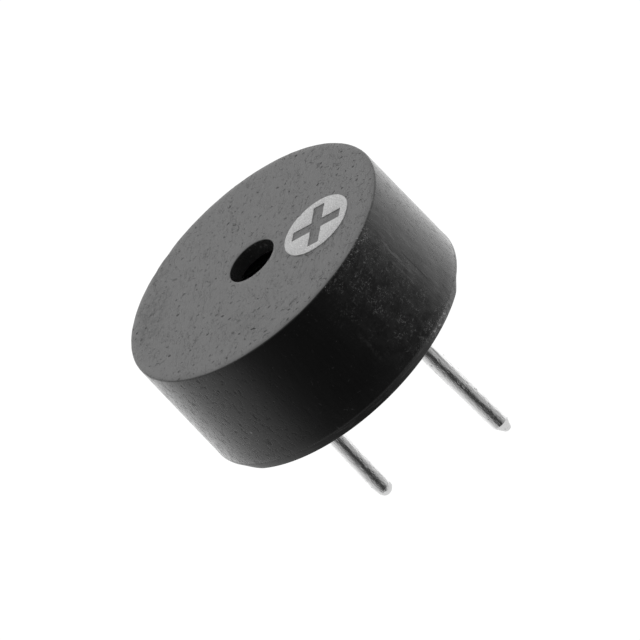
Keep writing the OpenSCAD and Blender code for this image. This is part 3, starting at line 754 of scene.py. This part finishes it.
def build_base(mat):
    """Lip, plug and the two stand-off arcs, in columns that share one set of rows."""
    ends = []
    for k in (0, 1):
        lo = 180 * k - 1 - 125
        ends += [(lo % 360, lo + 125)]
    cols = set(np.round(np.arange(0, 360, 0.75), 4))
    tiny = math.degrees(0.02 / R)
    for lo, hi in ((234.0, 359.0), (54.0, 179.0)):
        for e, s in ((lo, 1), (hi, -1)):
            for t in (0.0, 0.4, 0.8, 1.2, 1.6, 2.2):
                cols.add(round((e + s * t * tiny) % 360, 4))
        for t in range(0, 15):
            cols.add(round((lo - 2.5 + t) % 360, 4))
            cols.add(round((hi + 2.5 - t) % 360, 4))
    cols = np.array(sorted(cols))

    def inside(deg):
        """1 on a stand-off arc and 0 between them, with a small round at each end."""
        out = np.zeros(len(deg))
        for lo, hi in ((234.0, 359.0), (54.0, 179.0)):
            mid, half = (lo + hi) / 2, (hi - lo) / 2
            d = half - np.abs(ang(deg, mid))
            end = np.sqrt(1 - (1 - np.clip(d / (2.2 * tiny), 0, 1)) ** 2)      # quarter round
            ramp = np.clip((ang(deg, lo) + 2.5) / 12.0, 0, 1)
            ramp = ramp * ramp * (3 - 2 * ramp)
            run = np.clip((2.5 - ang(deg, hi)) / 9.0, 0, 1)
            run = run * run * (3 - 2 * run)
            out = np.maximum(out, np.where(np.abs(ang(deg, lo)) < 12.0, ramp, np.where(np.abs(ang(deg, hi)) < 12.0, run, end)))
        return out

    s = inside(cols)
    in_r = 3.7
    # rows: (r, z outside the arcs, z inside the arcs)
    rows = []
    plug_r = BORE_R - 0.02
    rows += [(0.0, BASE_TOP, BASE_TOP)]
    rows += [(r, BASE_TOP, BASE_TOP) for r in (1.2, 2.8, plug_r - EDGE)]
    rows += [(plug_r, BASE_TOP - EDGE, BASE_TOP - EDGE), (plug_r, SEAM + 0.02, SEAM + 0.02), (plug_r, SEAM, SEAM)]
    rows += [(R - SEAM_EDGE, SEAM, SEAM)]
    rows += [(r, z, z) for r, z in arc(R - SEAM_EDGE, SEAM - SEAM_EDGE, SEAM_EDGE, 90, 0, 4)[1:]]
    out_arc = arc(R - EDGE, STANDOFF + EDGE, EDGE, 0, -90, 4)
    in_arc = arc(R - EDGE, EDGE, EDGE, 0, -90, 4)
    rows += [(o[0], o[1], i[1]) for o, i in zip(out_arc, in_arc)]
    for r in (4.3, 4.1, 3.9):
        rows += [(r, STANDOFF, 0.0)]
    rows += [(r, STANDOFF, z) for r, z in arc(in_r + EDGE, EDGE, EDGE, -90, -180, 4)]
    rows += [(in_r, STANDOFF, STANDOFF - 0.01), (in_r - 0.01, STANDOFF, STANDOFF)]
    verts, index = [], []
    ca, sa = np.cos(np.radians(cols)), np.sin(np.radians(cols))
    for r, zo, zi in rows:
        if r == 0.0:
            index.append([len(verts)] * len(cols))
            verts.append((0, 0, zo))
            continue
        z = zo + (zi - zo) * s
        index.append(list(range(len(verts), len(verts) + len(cols))))
        verts += [(r * ca[i], r * sa[i], z[i]) for i in range(len(cols))]
    faces = []
    n = len(cols)
    for a, b in zip(index[:-1], index[1:]):
        for i in range(n):
            i2 = (i + 1) % n
            q = [a[i], b[i], b[i2], a[i2]]
            out = []
            for v in q:
                if v not in out:
                    out.append(v)
            if len(out) > 2:
                faces.append(out)
    # the flat underside, with the two pockets for the sealing compound
    pts = [Vector((verts[i][0], verts[i][1])) for i in index[-1]]
    ring_ids = list(index[-1])
    pocket_rings = []
    m = 96
    for side in (1, -1):
        lx = side * LEAD_X
        ring = [(lx + (SEAL_R + 0.02) * math.cos(2 * math.pi * i / m), (SEAL_R + 0.02) * math.sin(2 * math.pi * i / m)) for i in range(m)]
        ids = list(range(len(verts), len(verts) + m))
        verts += [(px, py, STANDOFF) for px, py in ring]
        pocket_rings.append((lx, ids))
        pts += [Vector(c) for c in ring]
        ring_ids += ids
    bm = bmesh.new()
    vs = [bm.verts.new((p.x, p.y, 0)) for p in pts]
    edges = []
    start = 0
    for count in (n, m, m):
        for i in range(count):
            edges.append(bm.edges.new((vs[start + i], vs[start + (i + 1) % count])))
        start += count
    bm.verts.index_update()
    res = bmesh.ops.triangle_fill(bm, use_beauty=True, use_dissolve=False, edges=edges)
    bm.verts.index_update()
    for f in bm.faces:
        faces.append([ring_ids[v.index] for v in f.verts])
    bm.free()
    # pockets, with a small edge, up to their floors and the bores for the leads
    for lx, ids in pocket_rings:
        prev = ids
        bore = LEAD_R + 0.01
        for r, z in ((SEAL_R, STANDOFF + 0.02), (SEAL_R, SEAL_TOP - 0.01), (SEAL_R - 0.01, SEAL_TOP), (bore, SEAL_TOP), (bore, BASE_TOP)):
            cur = list(range(len(verts), len(verts) + m))
            verts += [(lx + r * math.cos(2 * math.pi * i / m), r * math.sin(2 * math.pi * i / m), z) for i in range(m)]
            for i in range(m):
                i2 = (i + 1) % m
                faces.append([prev[i], prev[i2], cur[i2], cur[i]])
            prev = cur
        pocket_rings[pocket_rings.index((lx, ids))] = (lx, prev)
    return verts, faces, pocket_rings, mat


def finish_base(mat):
    verts, faces, tops, mat = build_base(mat)
    # the plug's top face is cut round the two bores: its fan is replaced by a filled ring
    zt = BASE_TOP
    top_faces = [f for f in faces if all(abs(verts[v][2] - zt) < 1e-9 for v in f)]
    keep = [f for f in faces if not all(abs(verts[v][2] - zt) < 1e-9 for v in f)]
    rim = {}
    plug_r = BORE_R - 0.02 - EDGE
    ring = [i for i, v in enumerate(verts) if abs(v[2] - zt) < 1e-9 and abs(math.hypot(v[0], v[1]) - plug_r) < 1e-6]
    ring.sort(key=lambda i: math.atan2(verts[i][1], verts[i][0]))
    bm = bmesh.new()
    ids, vs, edges = [], [], []
    for loop in (ring, tops[0][1], tops[1][1]):
        first = len(vs)
        for i in loop:
            vs.append(bm.verts.new((verts[i][0], verts[i][1], 0)))
            ids.append(i)
        for i in range(len(loop)):
            edges.append(bm.edges.new((vs[first + i], vs[first + (i + 1) % len(loop)])))
    bm.verts.index_update()
    bmesh.ops.triangle_fill(bm, use_beauty=True, use_dissolve=False, edges=edges)
    bm.verts.index_update()
    for f in bm.faces:
        keep.append([ids[v.index] for v in f.verts])
    bm.free()
    used = sorted({v for f in keep for v in f})
    new = {o: i for i, o in enumerate(used)}
    verts = [verts[o] for o in used]
    faces = [[new[v] for v in f] for f in keep]
    return mesh_from("base_moulding", verts, faces, mat)


def build_mark(mat):
    """The printed disc: a thin layer with a rounded edge and a bare plus, its outlines a little uneven."""
    half_l, half_w = 0.85, 0.19
    t = INK_TOP - TOP
    outer = []
    for i in range(240):
        a = 360.0 * i / 240
        r = MARK_R - 0.006
        r -= 0.006 * (0.5 + 0.5 * float(wave([a], 21, 6.0)[0]))
        r -= 0.035 * math.exp(-((float(ang(a, 128)) / 2.5) ** 2))
        r -= 0.02 * float(smooth(24, 0, abs(float(ang(a, -5)))))
        outer.append((MARK_X + r * math.cos(math.radians(a)), r * math.sin(math.radians(a))))
    w, l = half_w, half_l
    corners = [(w, w), (w, l), (-w, l), (-w, w), (-l, w), (-l, -w), (-w, -w), (-w, -l), (w, -l), (w, -w), (l, -w), (l, w)]
    inner = []
    for i, c in enumerate(corners):
        d = corners[(i + 1) % 12]
        steps = 14
        for s in range(steps):
            u = s / steps
            px, py = c[0] + (d[0] - c[0]) * u, c[1] + (d[1] - c[1]) * u
            q = noise.noise_vector(Vector((px * 6, py * 6, 4.2)))
            inner.append((MARK_X + px + 0.012 * q[0], py + 0.012 * q[1]))
    return flat_layer("ink_disc", outer, inner, TOP, t, mat)


def inset(loop, d):
    """A closed loop of (x, y), moved d to its left."""
    pts = np.array(loop)
    nxt, prv = np.roll(pts, -1, 0), np.roll(pts, 1, 0)
    tan = nxt - prv
    tan /= np.linalg.norm(tan, axis=1)[:, None]
    nrm = np.c_[-tan[:, 1], tan[:, 0]]
    return [tuple(p) for p in pts + nrm * d]


def flat_layer(name, outer, inner, z0, t, mat):
    """A thin plate between two outlines, its upper edges rounded."""
    verts, faces = [], []

    def loop_of(points, z):
        ids = list(range(len(verts), len(verts) + len(points)))
        verts.extend((px, py, z) for px, py in points)
        return ids

    def side(a, b):
        k = len(a)
        for i in range(k):
            faces.append([a[i], a[(i + 1) % k], b[(i + 1) % k], b[i]])

    e = t * 0.7
    rings = {}
    for key, loop, sgn in (("o", outer, 1), ("i", inner, -1)):
        bottom = loop_of(loop, z0)
        mid = loop_of(loop, z0 + t - e)
        m2 = loop_of(inset(loop, sgn * e * 0.3), z0 + t - e * 0.3)
        up = loop_of(inset(loop, sgn * e), z0 + t)
        side(bottom, mid)
        side(mid, m2)
        side(m2, up)
        rings[key] = (bottom, up)
    for k, z in ((0, z0), (1, z0 + t)):
        bm = bmesh.new()
        ids, vs, edges = [], [], []
        for key in ("o", "i"):
            loop = rings[key][k]
            first = len(vs)
            for i in loop:
                vs.append(bm.verts.new((verts[i][0], verts[i][1], 0)))
                ids.append(i)
            for i in range(len(loop)):
                edges.append(bm.edges.new((vs[first + i], vs[first + (i + 1) % len(loop)])))
        bm.verts.index_update()
        bmesh.ops.triangle_fill(bm, use_beauty=True, use_dissolve=False, edges=edges)
        bm.verts.index_update()
        for f in bm.faces:
            faces.append([ids[v.index] for v in f.verts])
        bm.free()
    return mesh_from(name, verts, faces, mat)


def build_lead(name, mount, tip, tip_l, seed, mat):
    """A drawn wire: straight through the base, a soft bend at the seating face and a cut tip."""
    m = MOUNTS[mount]
    x0 = m["pos_m"][0] / MM
    ax = Vector(m["axis"]).normalized()
    lean = math.atan2(abs(ax[0]), -ax[2])
    side = 1 if x0 > 0 else -1
    length = m["dims"]["length_mm"] + tip_l - 0.003
    top = 1.05
    path = []
    for z in np.linspace(top - 0.02, 0.3, 5):
        path.append((0.0, z, 0.0))
    for k in range(1, 9):                       # the bend, over 0.6 mm
        u = k / 8
        a = lean * u * u * (3 - 2 * u)
        path.append((0.0, 0.3 - 0.6 * u, a))
    rows = [(x, z, a) for x, z, a in path]
    # offsets: integrate the lean so that the straight part lies on the mount's axis
    pts, off, last = [], 0.0, None
    for x, z, a in rows:
        if last is not None:
            off += math.tan((a + last[1]) / 2) * (last[0] - z)
        pts.append([off, z, a])
        last = (z, a)
    want = 0.3 * math.tan(lean)
    for q in pts:
        q[0] *= want / off
    start = 0.3 / math.cos(lean)
    steps = 90
    body_end = length - tip[0][0] - 0.01      # the straight part ends where the tip starts
    for k in range(1, steps + 1):
        s = start + (body_end - start) * k / steps
        pts.append([s * math.sin(lean), -s * math.cos(lean), lean])
    seg = 72
    verts, rings = [], []

    def ring(off, z, a, rad, wob):
        ids = list(range(len(verts), len(verts) + seg))
        cx = x0 + side * off
        for i in range(seg):
            t = 2 * math.pi * i / seg
            d = Vector((math.cos(t) * 1.3, math.sin(t) * 1.3, z * 0.9 + seed * 9.1))
            r = rad - wob * (0.5 + 0.5 * noise.noise(d) * 1.6)
            lx, ly = r * math.cos(t), r * math.sin(t)
            verts.append((cx + lx * math.cos(a), ly, z + lx * math.sin(a) * side))
        return ids

    rings.append(ring(0.0, top, 0.0, LEAD_R - 0.02, 0.0))
    for off, z, a in pts:
        rings.append(ring(off, z, a, LEAD_R, 0.004))
    for s, dr in tip:                           # s is measured back from the end
        d = length - s
        skew = (0.03 if side > 0 else 0.01) * max(0.0, 1.0 - s / tip_l) ** 2
        rings.append(ring(d * math.sin(lean) + skew, -d * math.cos(lean), lean, LEAD_R - dr, 0.006))
    faces = [list(reversed(rings[0]))]
    for a, b in zip(rings[:-1], rings[1:]):
        for i in range(seg):
            i2 = (i + 1) % seg
            faces.append([a[i], a[i2], b[i2], b[i]])
    faces.append(rings[-1])
    return mesh_from(name, verts, faces, mat, sharp=40.0)


def build_seal(name, side, seed, mat):
    """A bead of compound that has crept up the lead and lies level in its pocket."""
    lx = side * LEAD_X
    prof = [(LEAD_R + 0.002, SEAL_TOP - 0.002), (LEAD_R + 0.002, 0.065), (0.32, 0.068), (0.36, 0.078), (0.42, 0.09),
            (0.50, 0.102), (0.58, 0.112), (0.66, 0.12), (0.72, 0.124), (SEAL_R - 0.004, 0.129), (SEAL_R - 0.004, SEAL_TOP - 0.002)]

    def shift(deg, r, z):
        dz = np.zeros(len(deg))
        if 0.33 < r < SEAL_R - 0.01 and z < 0.2:
            dz = 0.006 * wave(deg, seed, 2.0, r * 3)
        return 0.0, dz

    return lathe(name, prof, 96, mat, shift, at=(lx, 0.0))


# ------------------------------------------------------------------- world


def light_tent():
    """Soft white light from all round, with the dim side of the studio towards the camera."""
    w = bpy.data.worlds.new("studio")
    bpy.context.scene.world = w
    w.use_nodes = True
    n = Nodes(w.node_tree)
    out = n.add("ShaderNodeOutputWorld")
    bg = n.add("ShaderNodeBackground")
    n.tree.links.new(bg.outputs[0], out.inputs[0])
    d = n.add("ShaderNodeTexCoord").outputs["Generated"]
    turn = math.radians(TURN)
    front = (math.sin(turn), -math.cos(turn), 0.0)      # level, towards the camera
    right = (math.cos(turn), math.sin(turn), 0.0)
    f = n.vec("DOT_PRODUCT", d, front)
    r = n.vec("DOT_PRODUCT", d, right)
    z = n.split(d)[2]
    az = n.math("DIVIDE", n.math("ARCTAN2", r, f), 2 * math.pi)     # -0.5 to 0.5
    ramp = n.add("ShaderNodeValToRGB")
    stops = [(-180, 1.42), (-150, 1.36), (-128, 1.14), (-112, 0.97), (-100, 0.86), (-88, 0.78), (-76, 0.66), (-64, 0.50),
             (-55, 0.38), (-48, 0.29), (-40, 0.20), (-32, 0.12), (-24, 0.06), (-12, 0.04),
             (4, 0.045), (11, 0.08), (17, 0.16), (23, 0.28), (33, 0.43), (45, 0.48), (58, 0.48), (66, 0.62), (76, 0.95), (92, 1.32), (130, 1.42), (180, 1.42)]
    el = ramp.color_ramp.elements
    while len(el) > 1:
        el.remove(el[-1])
    el[0].position = 0.0
    for i, (a, v) in enumerate(stops):
        e = el[0] if i == 0 else el.new((a + 180) / 360)
        e.position = (a + 180) / 360
        e.color = (v / 1.5, v / 1.5, v / 1.5, 1)
    n.put(ramp.inputs[0], n.math("ADD", az, 0.5))
    ringv = n.math("MULTIPLY", ramp.outputs[0], 1.5)
    high = n.range(z, 0.45, 0.9, 1.0, 0.0)
    deep = n.range(f, -0.1, 0.3)                 # the dim side reaches lower in front
    below = n.range(n.math("MULTIPLY_ADD", deep, 0.20, z), -0.70, -0.58)
    v = n.fmix(high, 1.3, ringv)
    v = n.fmix(below, 0.80, v)
    n.put(bg.inputs["Color"], n.grey(v))
    bg.inputs["Strength"].default_value = 1.0


def floor():
    """A plain pale floor under the lead tips."""
    size = 3.0
    me = bpy.data.meshes.new("floor")
    z = cad_lo[2] - 0.00002
    me.from_pydata([(-size, -size, z), (size, -size, z), (size, size, z), (-size, size, z)], [], [[0, 1, 2, 3]])
    obj = bpy.data.objects.new("floor", me)
    bpy.context.scene.collection.objects.link(obj)
    m = bpy.data.materials.new("floor_white")
    m.use_nodes = True
    n = Nodes(m.node_tree)
    out = n.add("ShaderNodeOutputMaterial")
    e = n.add("ShaderNodeEmission")
    e.inputs["Color"].default_value = (1, 1, 1, 1)
    e.inputs["Strength"].default_value = 1.05
    n.tree.links.new(e.outputs[0], out.inputs[0])
    give(obj, m)
    obj.visible_diffuse = False
    obj.visible_glossy = False
    obj.visible_transmission = False
    obj.visible_shadow = False
    return obj


# -------------------------------------------------------------------- make

add_camera()
light_tent()
floor()

CASE = case_plastic()
BASE = base_plastic()
INK = mark_ink()
TIN = tinned_wire()
SEAL = sealing_compound()

# rows of (height above the end, how far the side has drawn in), in mm
CONE_L, ROUND_L, ROUND_W = 0.38, 0.47, 0.24
TIP_CONE = [(CONE_L, 0.0), (0.365, 0.006), (0.34, 0.018), (0.28, 0.047), (0.20, 0.086), (0.12, 0.125), (0.05, 0.159), (0.022, 0.175), (0.005, 0.193), (0.0, 0.213)]
TIP_ROUND = [(ROUND_L * (1 - math.sin(math.radians(7.5 * k))), ROUND_W * (1 - math.cos(math.radians(7.5 * k))) + 0.004 * k / 12) for k in range(13)]

pieces = [
    (build_case(CASE), "case", "case_plastic"),
    (finish_base(BASE), "base", "base_plastic"),
    (build_mark(INK), "polarity_mark", "mark_ink"),
    (build_lead("wire_positive", "lead_positive", TIP_CONE, CONE_L, 1, TIN), "lead_positive", "tinned_wire"),
    (build_lead("wire_negative", "lead_negative", TIP_ROUND, ROUND_L, 2, TIN), "lead_negative", "tinned_wire"),
    (build_seal("bead_positive", 1, 31, SEAL), "seal_positive", "sealing_compound"),
    (build_seal("bead_negative", -1, 32, SEAL), "seal_negative", "sealing_compound"),
]
for obj, node, slot in pieces:
    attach(obj, "root")
    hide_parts(node)

INSIDE = {
    "diaphragm": diaphragm_metal(),
    "armature_disc": simple("armature_iron", (0.045, 0.045, 0.045), (0.075, 0.075, 0.074), (0.35, 0.6), 0.3, 9.0, 0.003),
    "pole_core": simple("core_iron", (0.36, 0.37, 0.38), (0.52, 0.53, 0.54), (0.2, 0.4), 1.0, 9.0, 0.003, (1, 1, 5)),
    "yoke_plate": simple("yoke_iron", (0.38, 0.39, 0.40), (0.50, 0.51, 0.52), (0.25, 0.5), 1.0, 6.0, 0.003, (1, 0.3, 1)),
    "support_ring": simple("ring_nylon", (0.50, 0.47, 0.37), (0.60, 0.57, 0.47), (0.35, 0.55), 0.0, 4.0, 0.003),
    "magnet_ring": simple("bonded_ferrite", (0.035, 0.034, 0.034), (0.075, 0.073, 0.07), (0.45, 0.75), 0.0, 14.0, 0.006),
    "coil_washer": simple("polyester_film", (0.52, 0.36, 0.12), (0.66, 0.47, 0.18), (0.15, 0.35), 0.0, 5.0, 0.002),
    "coil": simple("enamelled_copper", (0.38, 0.11, 0.04), (0.60, 0.22, 0.09), (0.15, 0.35), 0.6, 5.0, 0.003, (1, 1, 8)),
    "solder_positive": simple("solder_alloy", (0.50, 0.51, 0.52), (0.66, 0.67, 0.68), (0.22, 0.45), 1.0, 7.0, 0.004),
}
INSIDE["solder_negative"] = INSIDE["solder_positive"]
for node, mat in INSIDE.items():
    give(frame["nodes"][node], mat)

scene = bpy.context.scene
scene.view_settings.view_transform = "Standard"
scene.view_settings.look = "None"
scene.view_settings.exposure = 0.0
scene.view_settings.gamma = 1.0
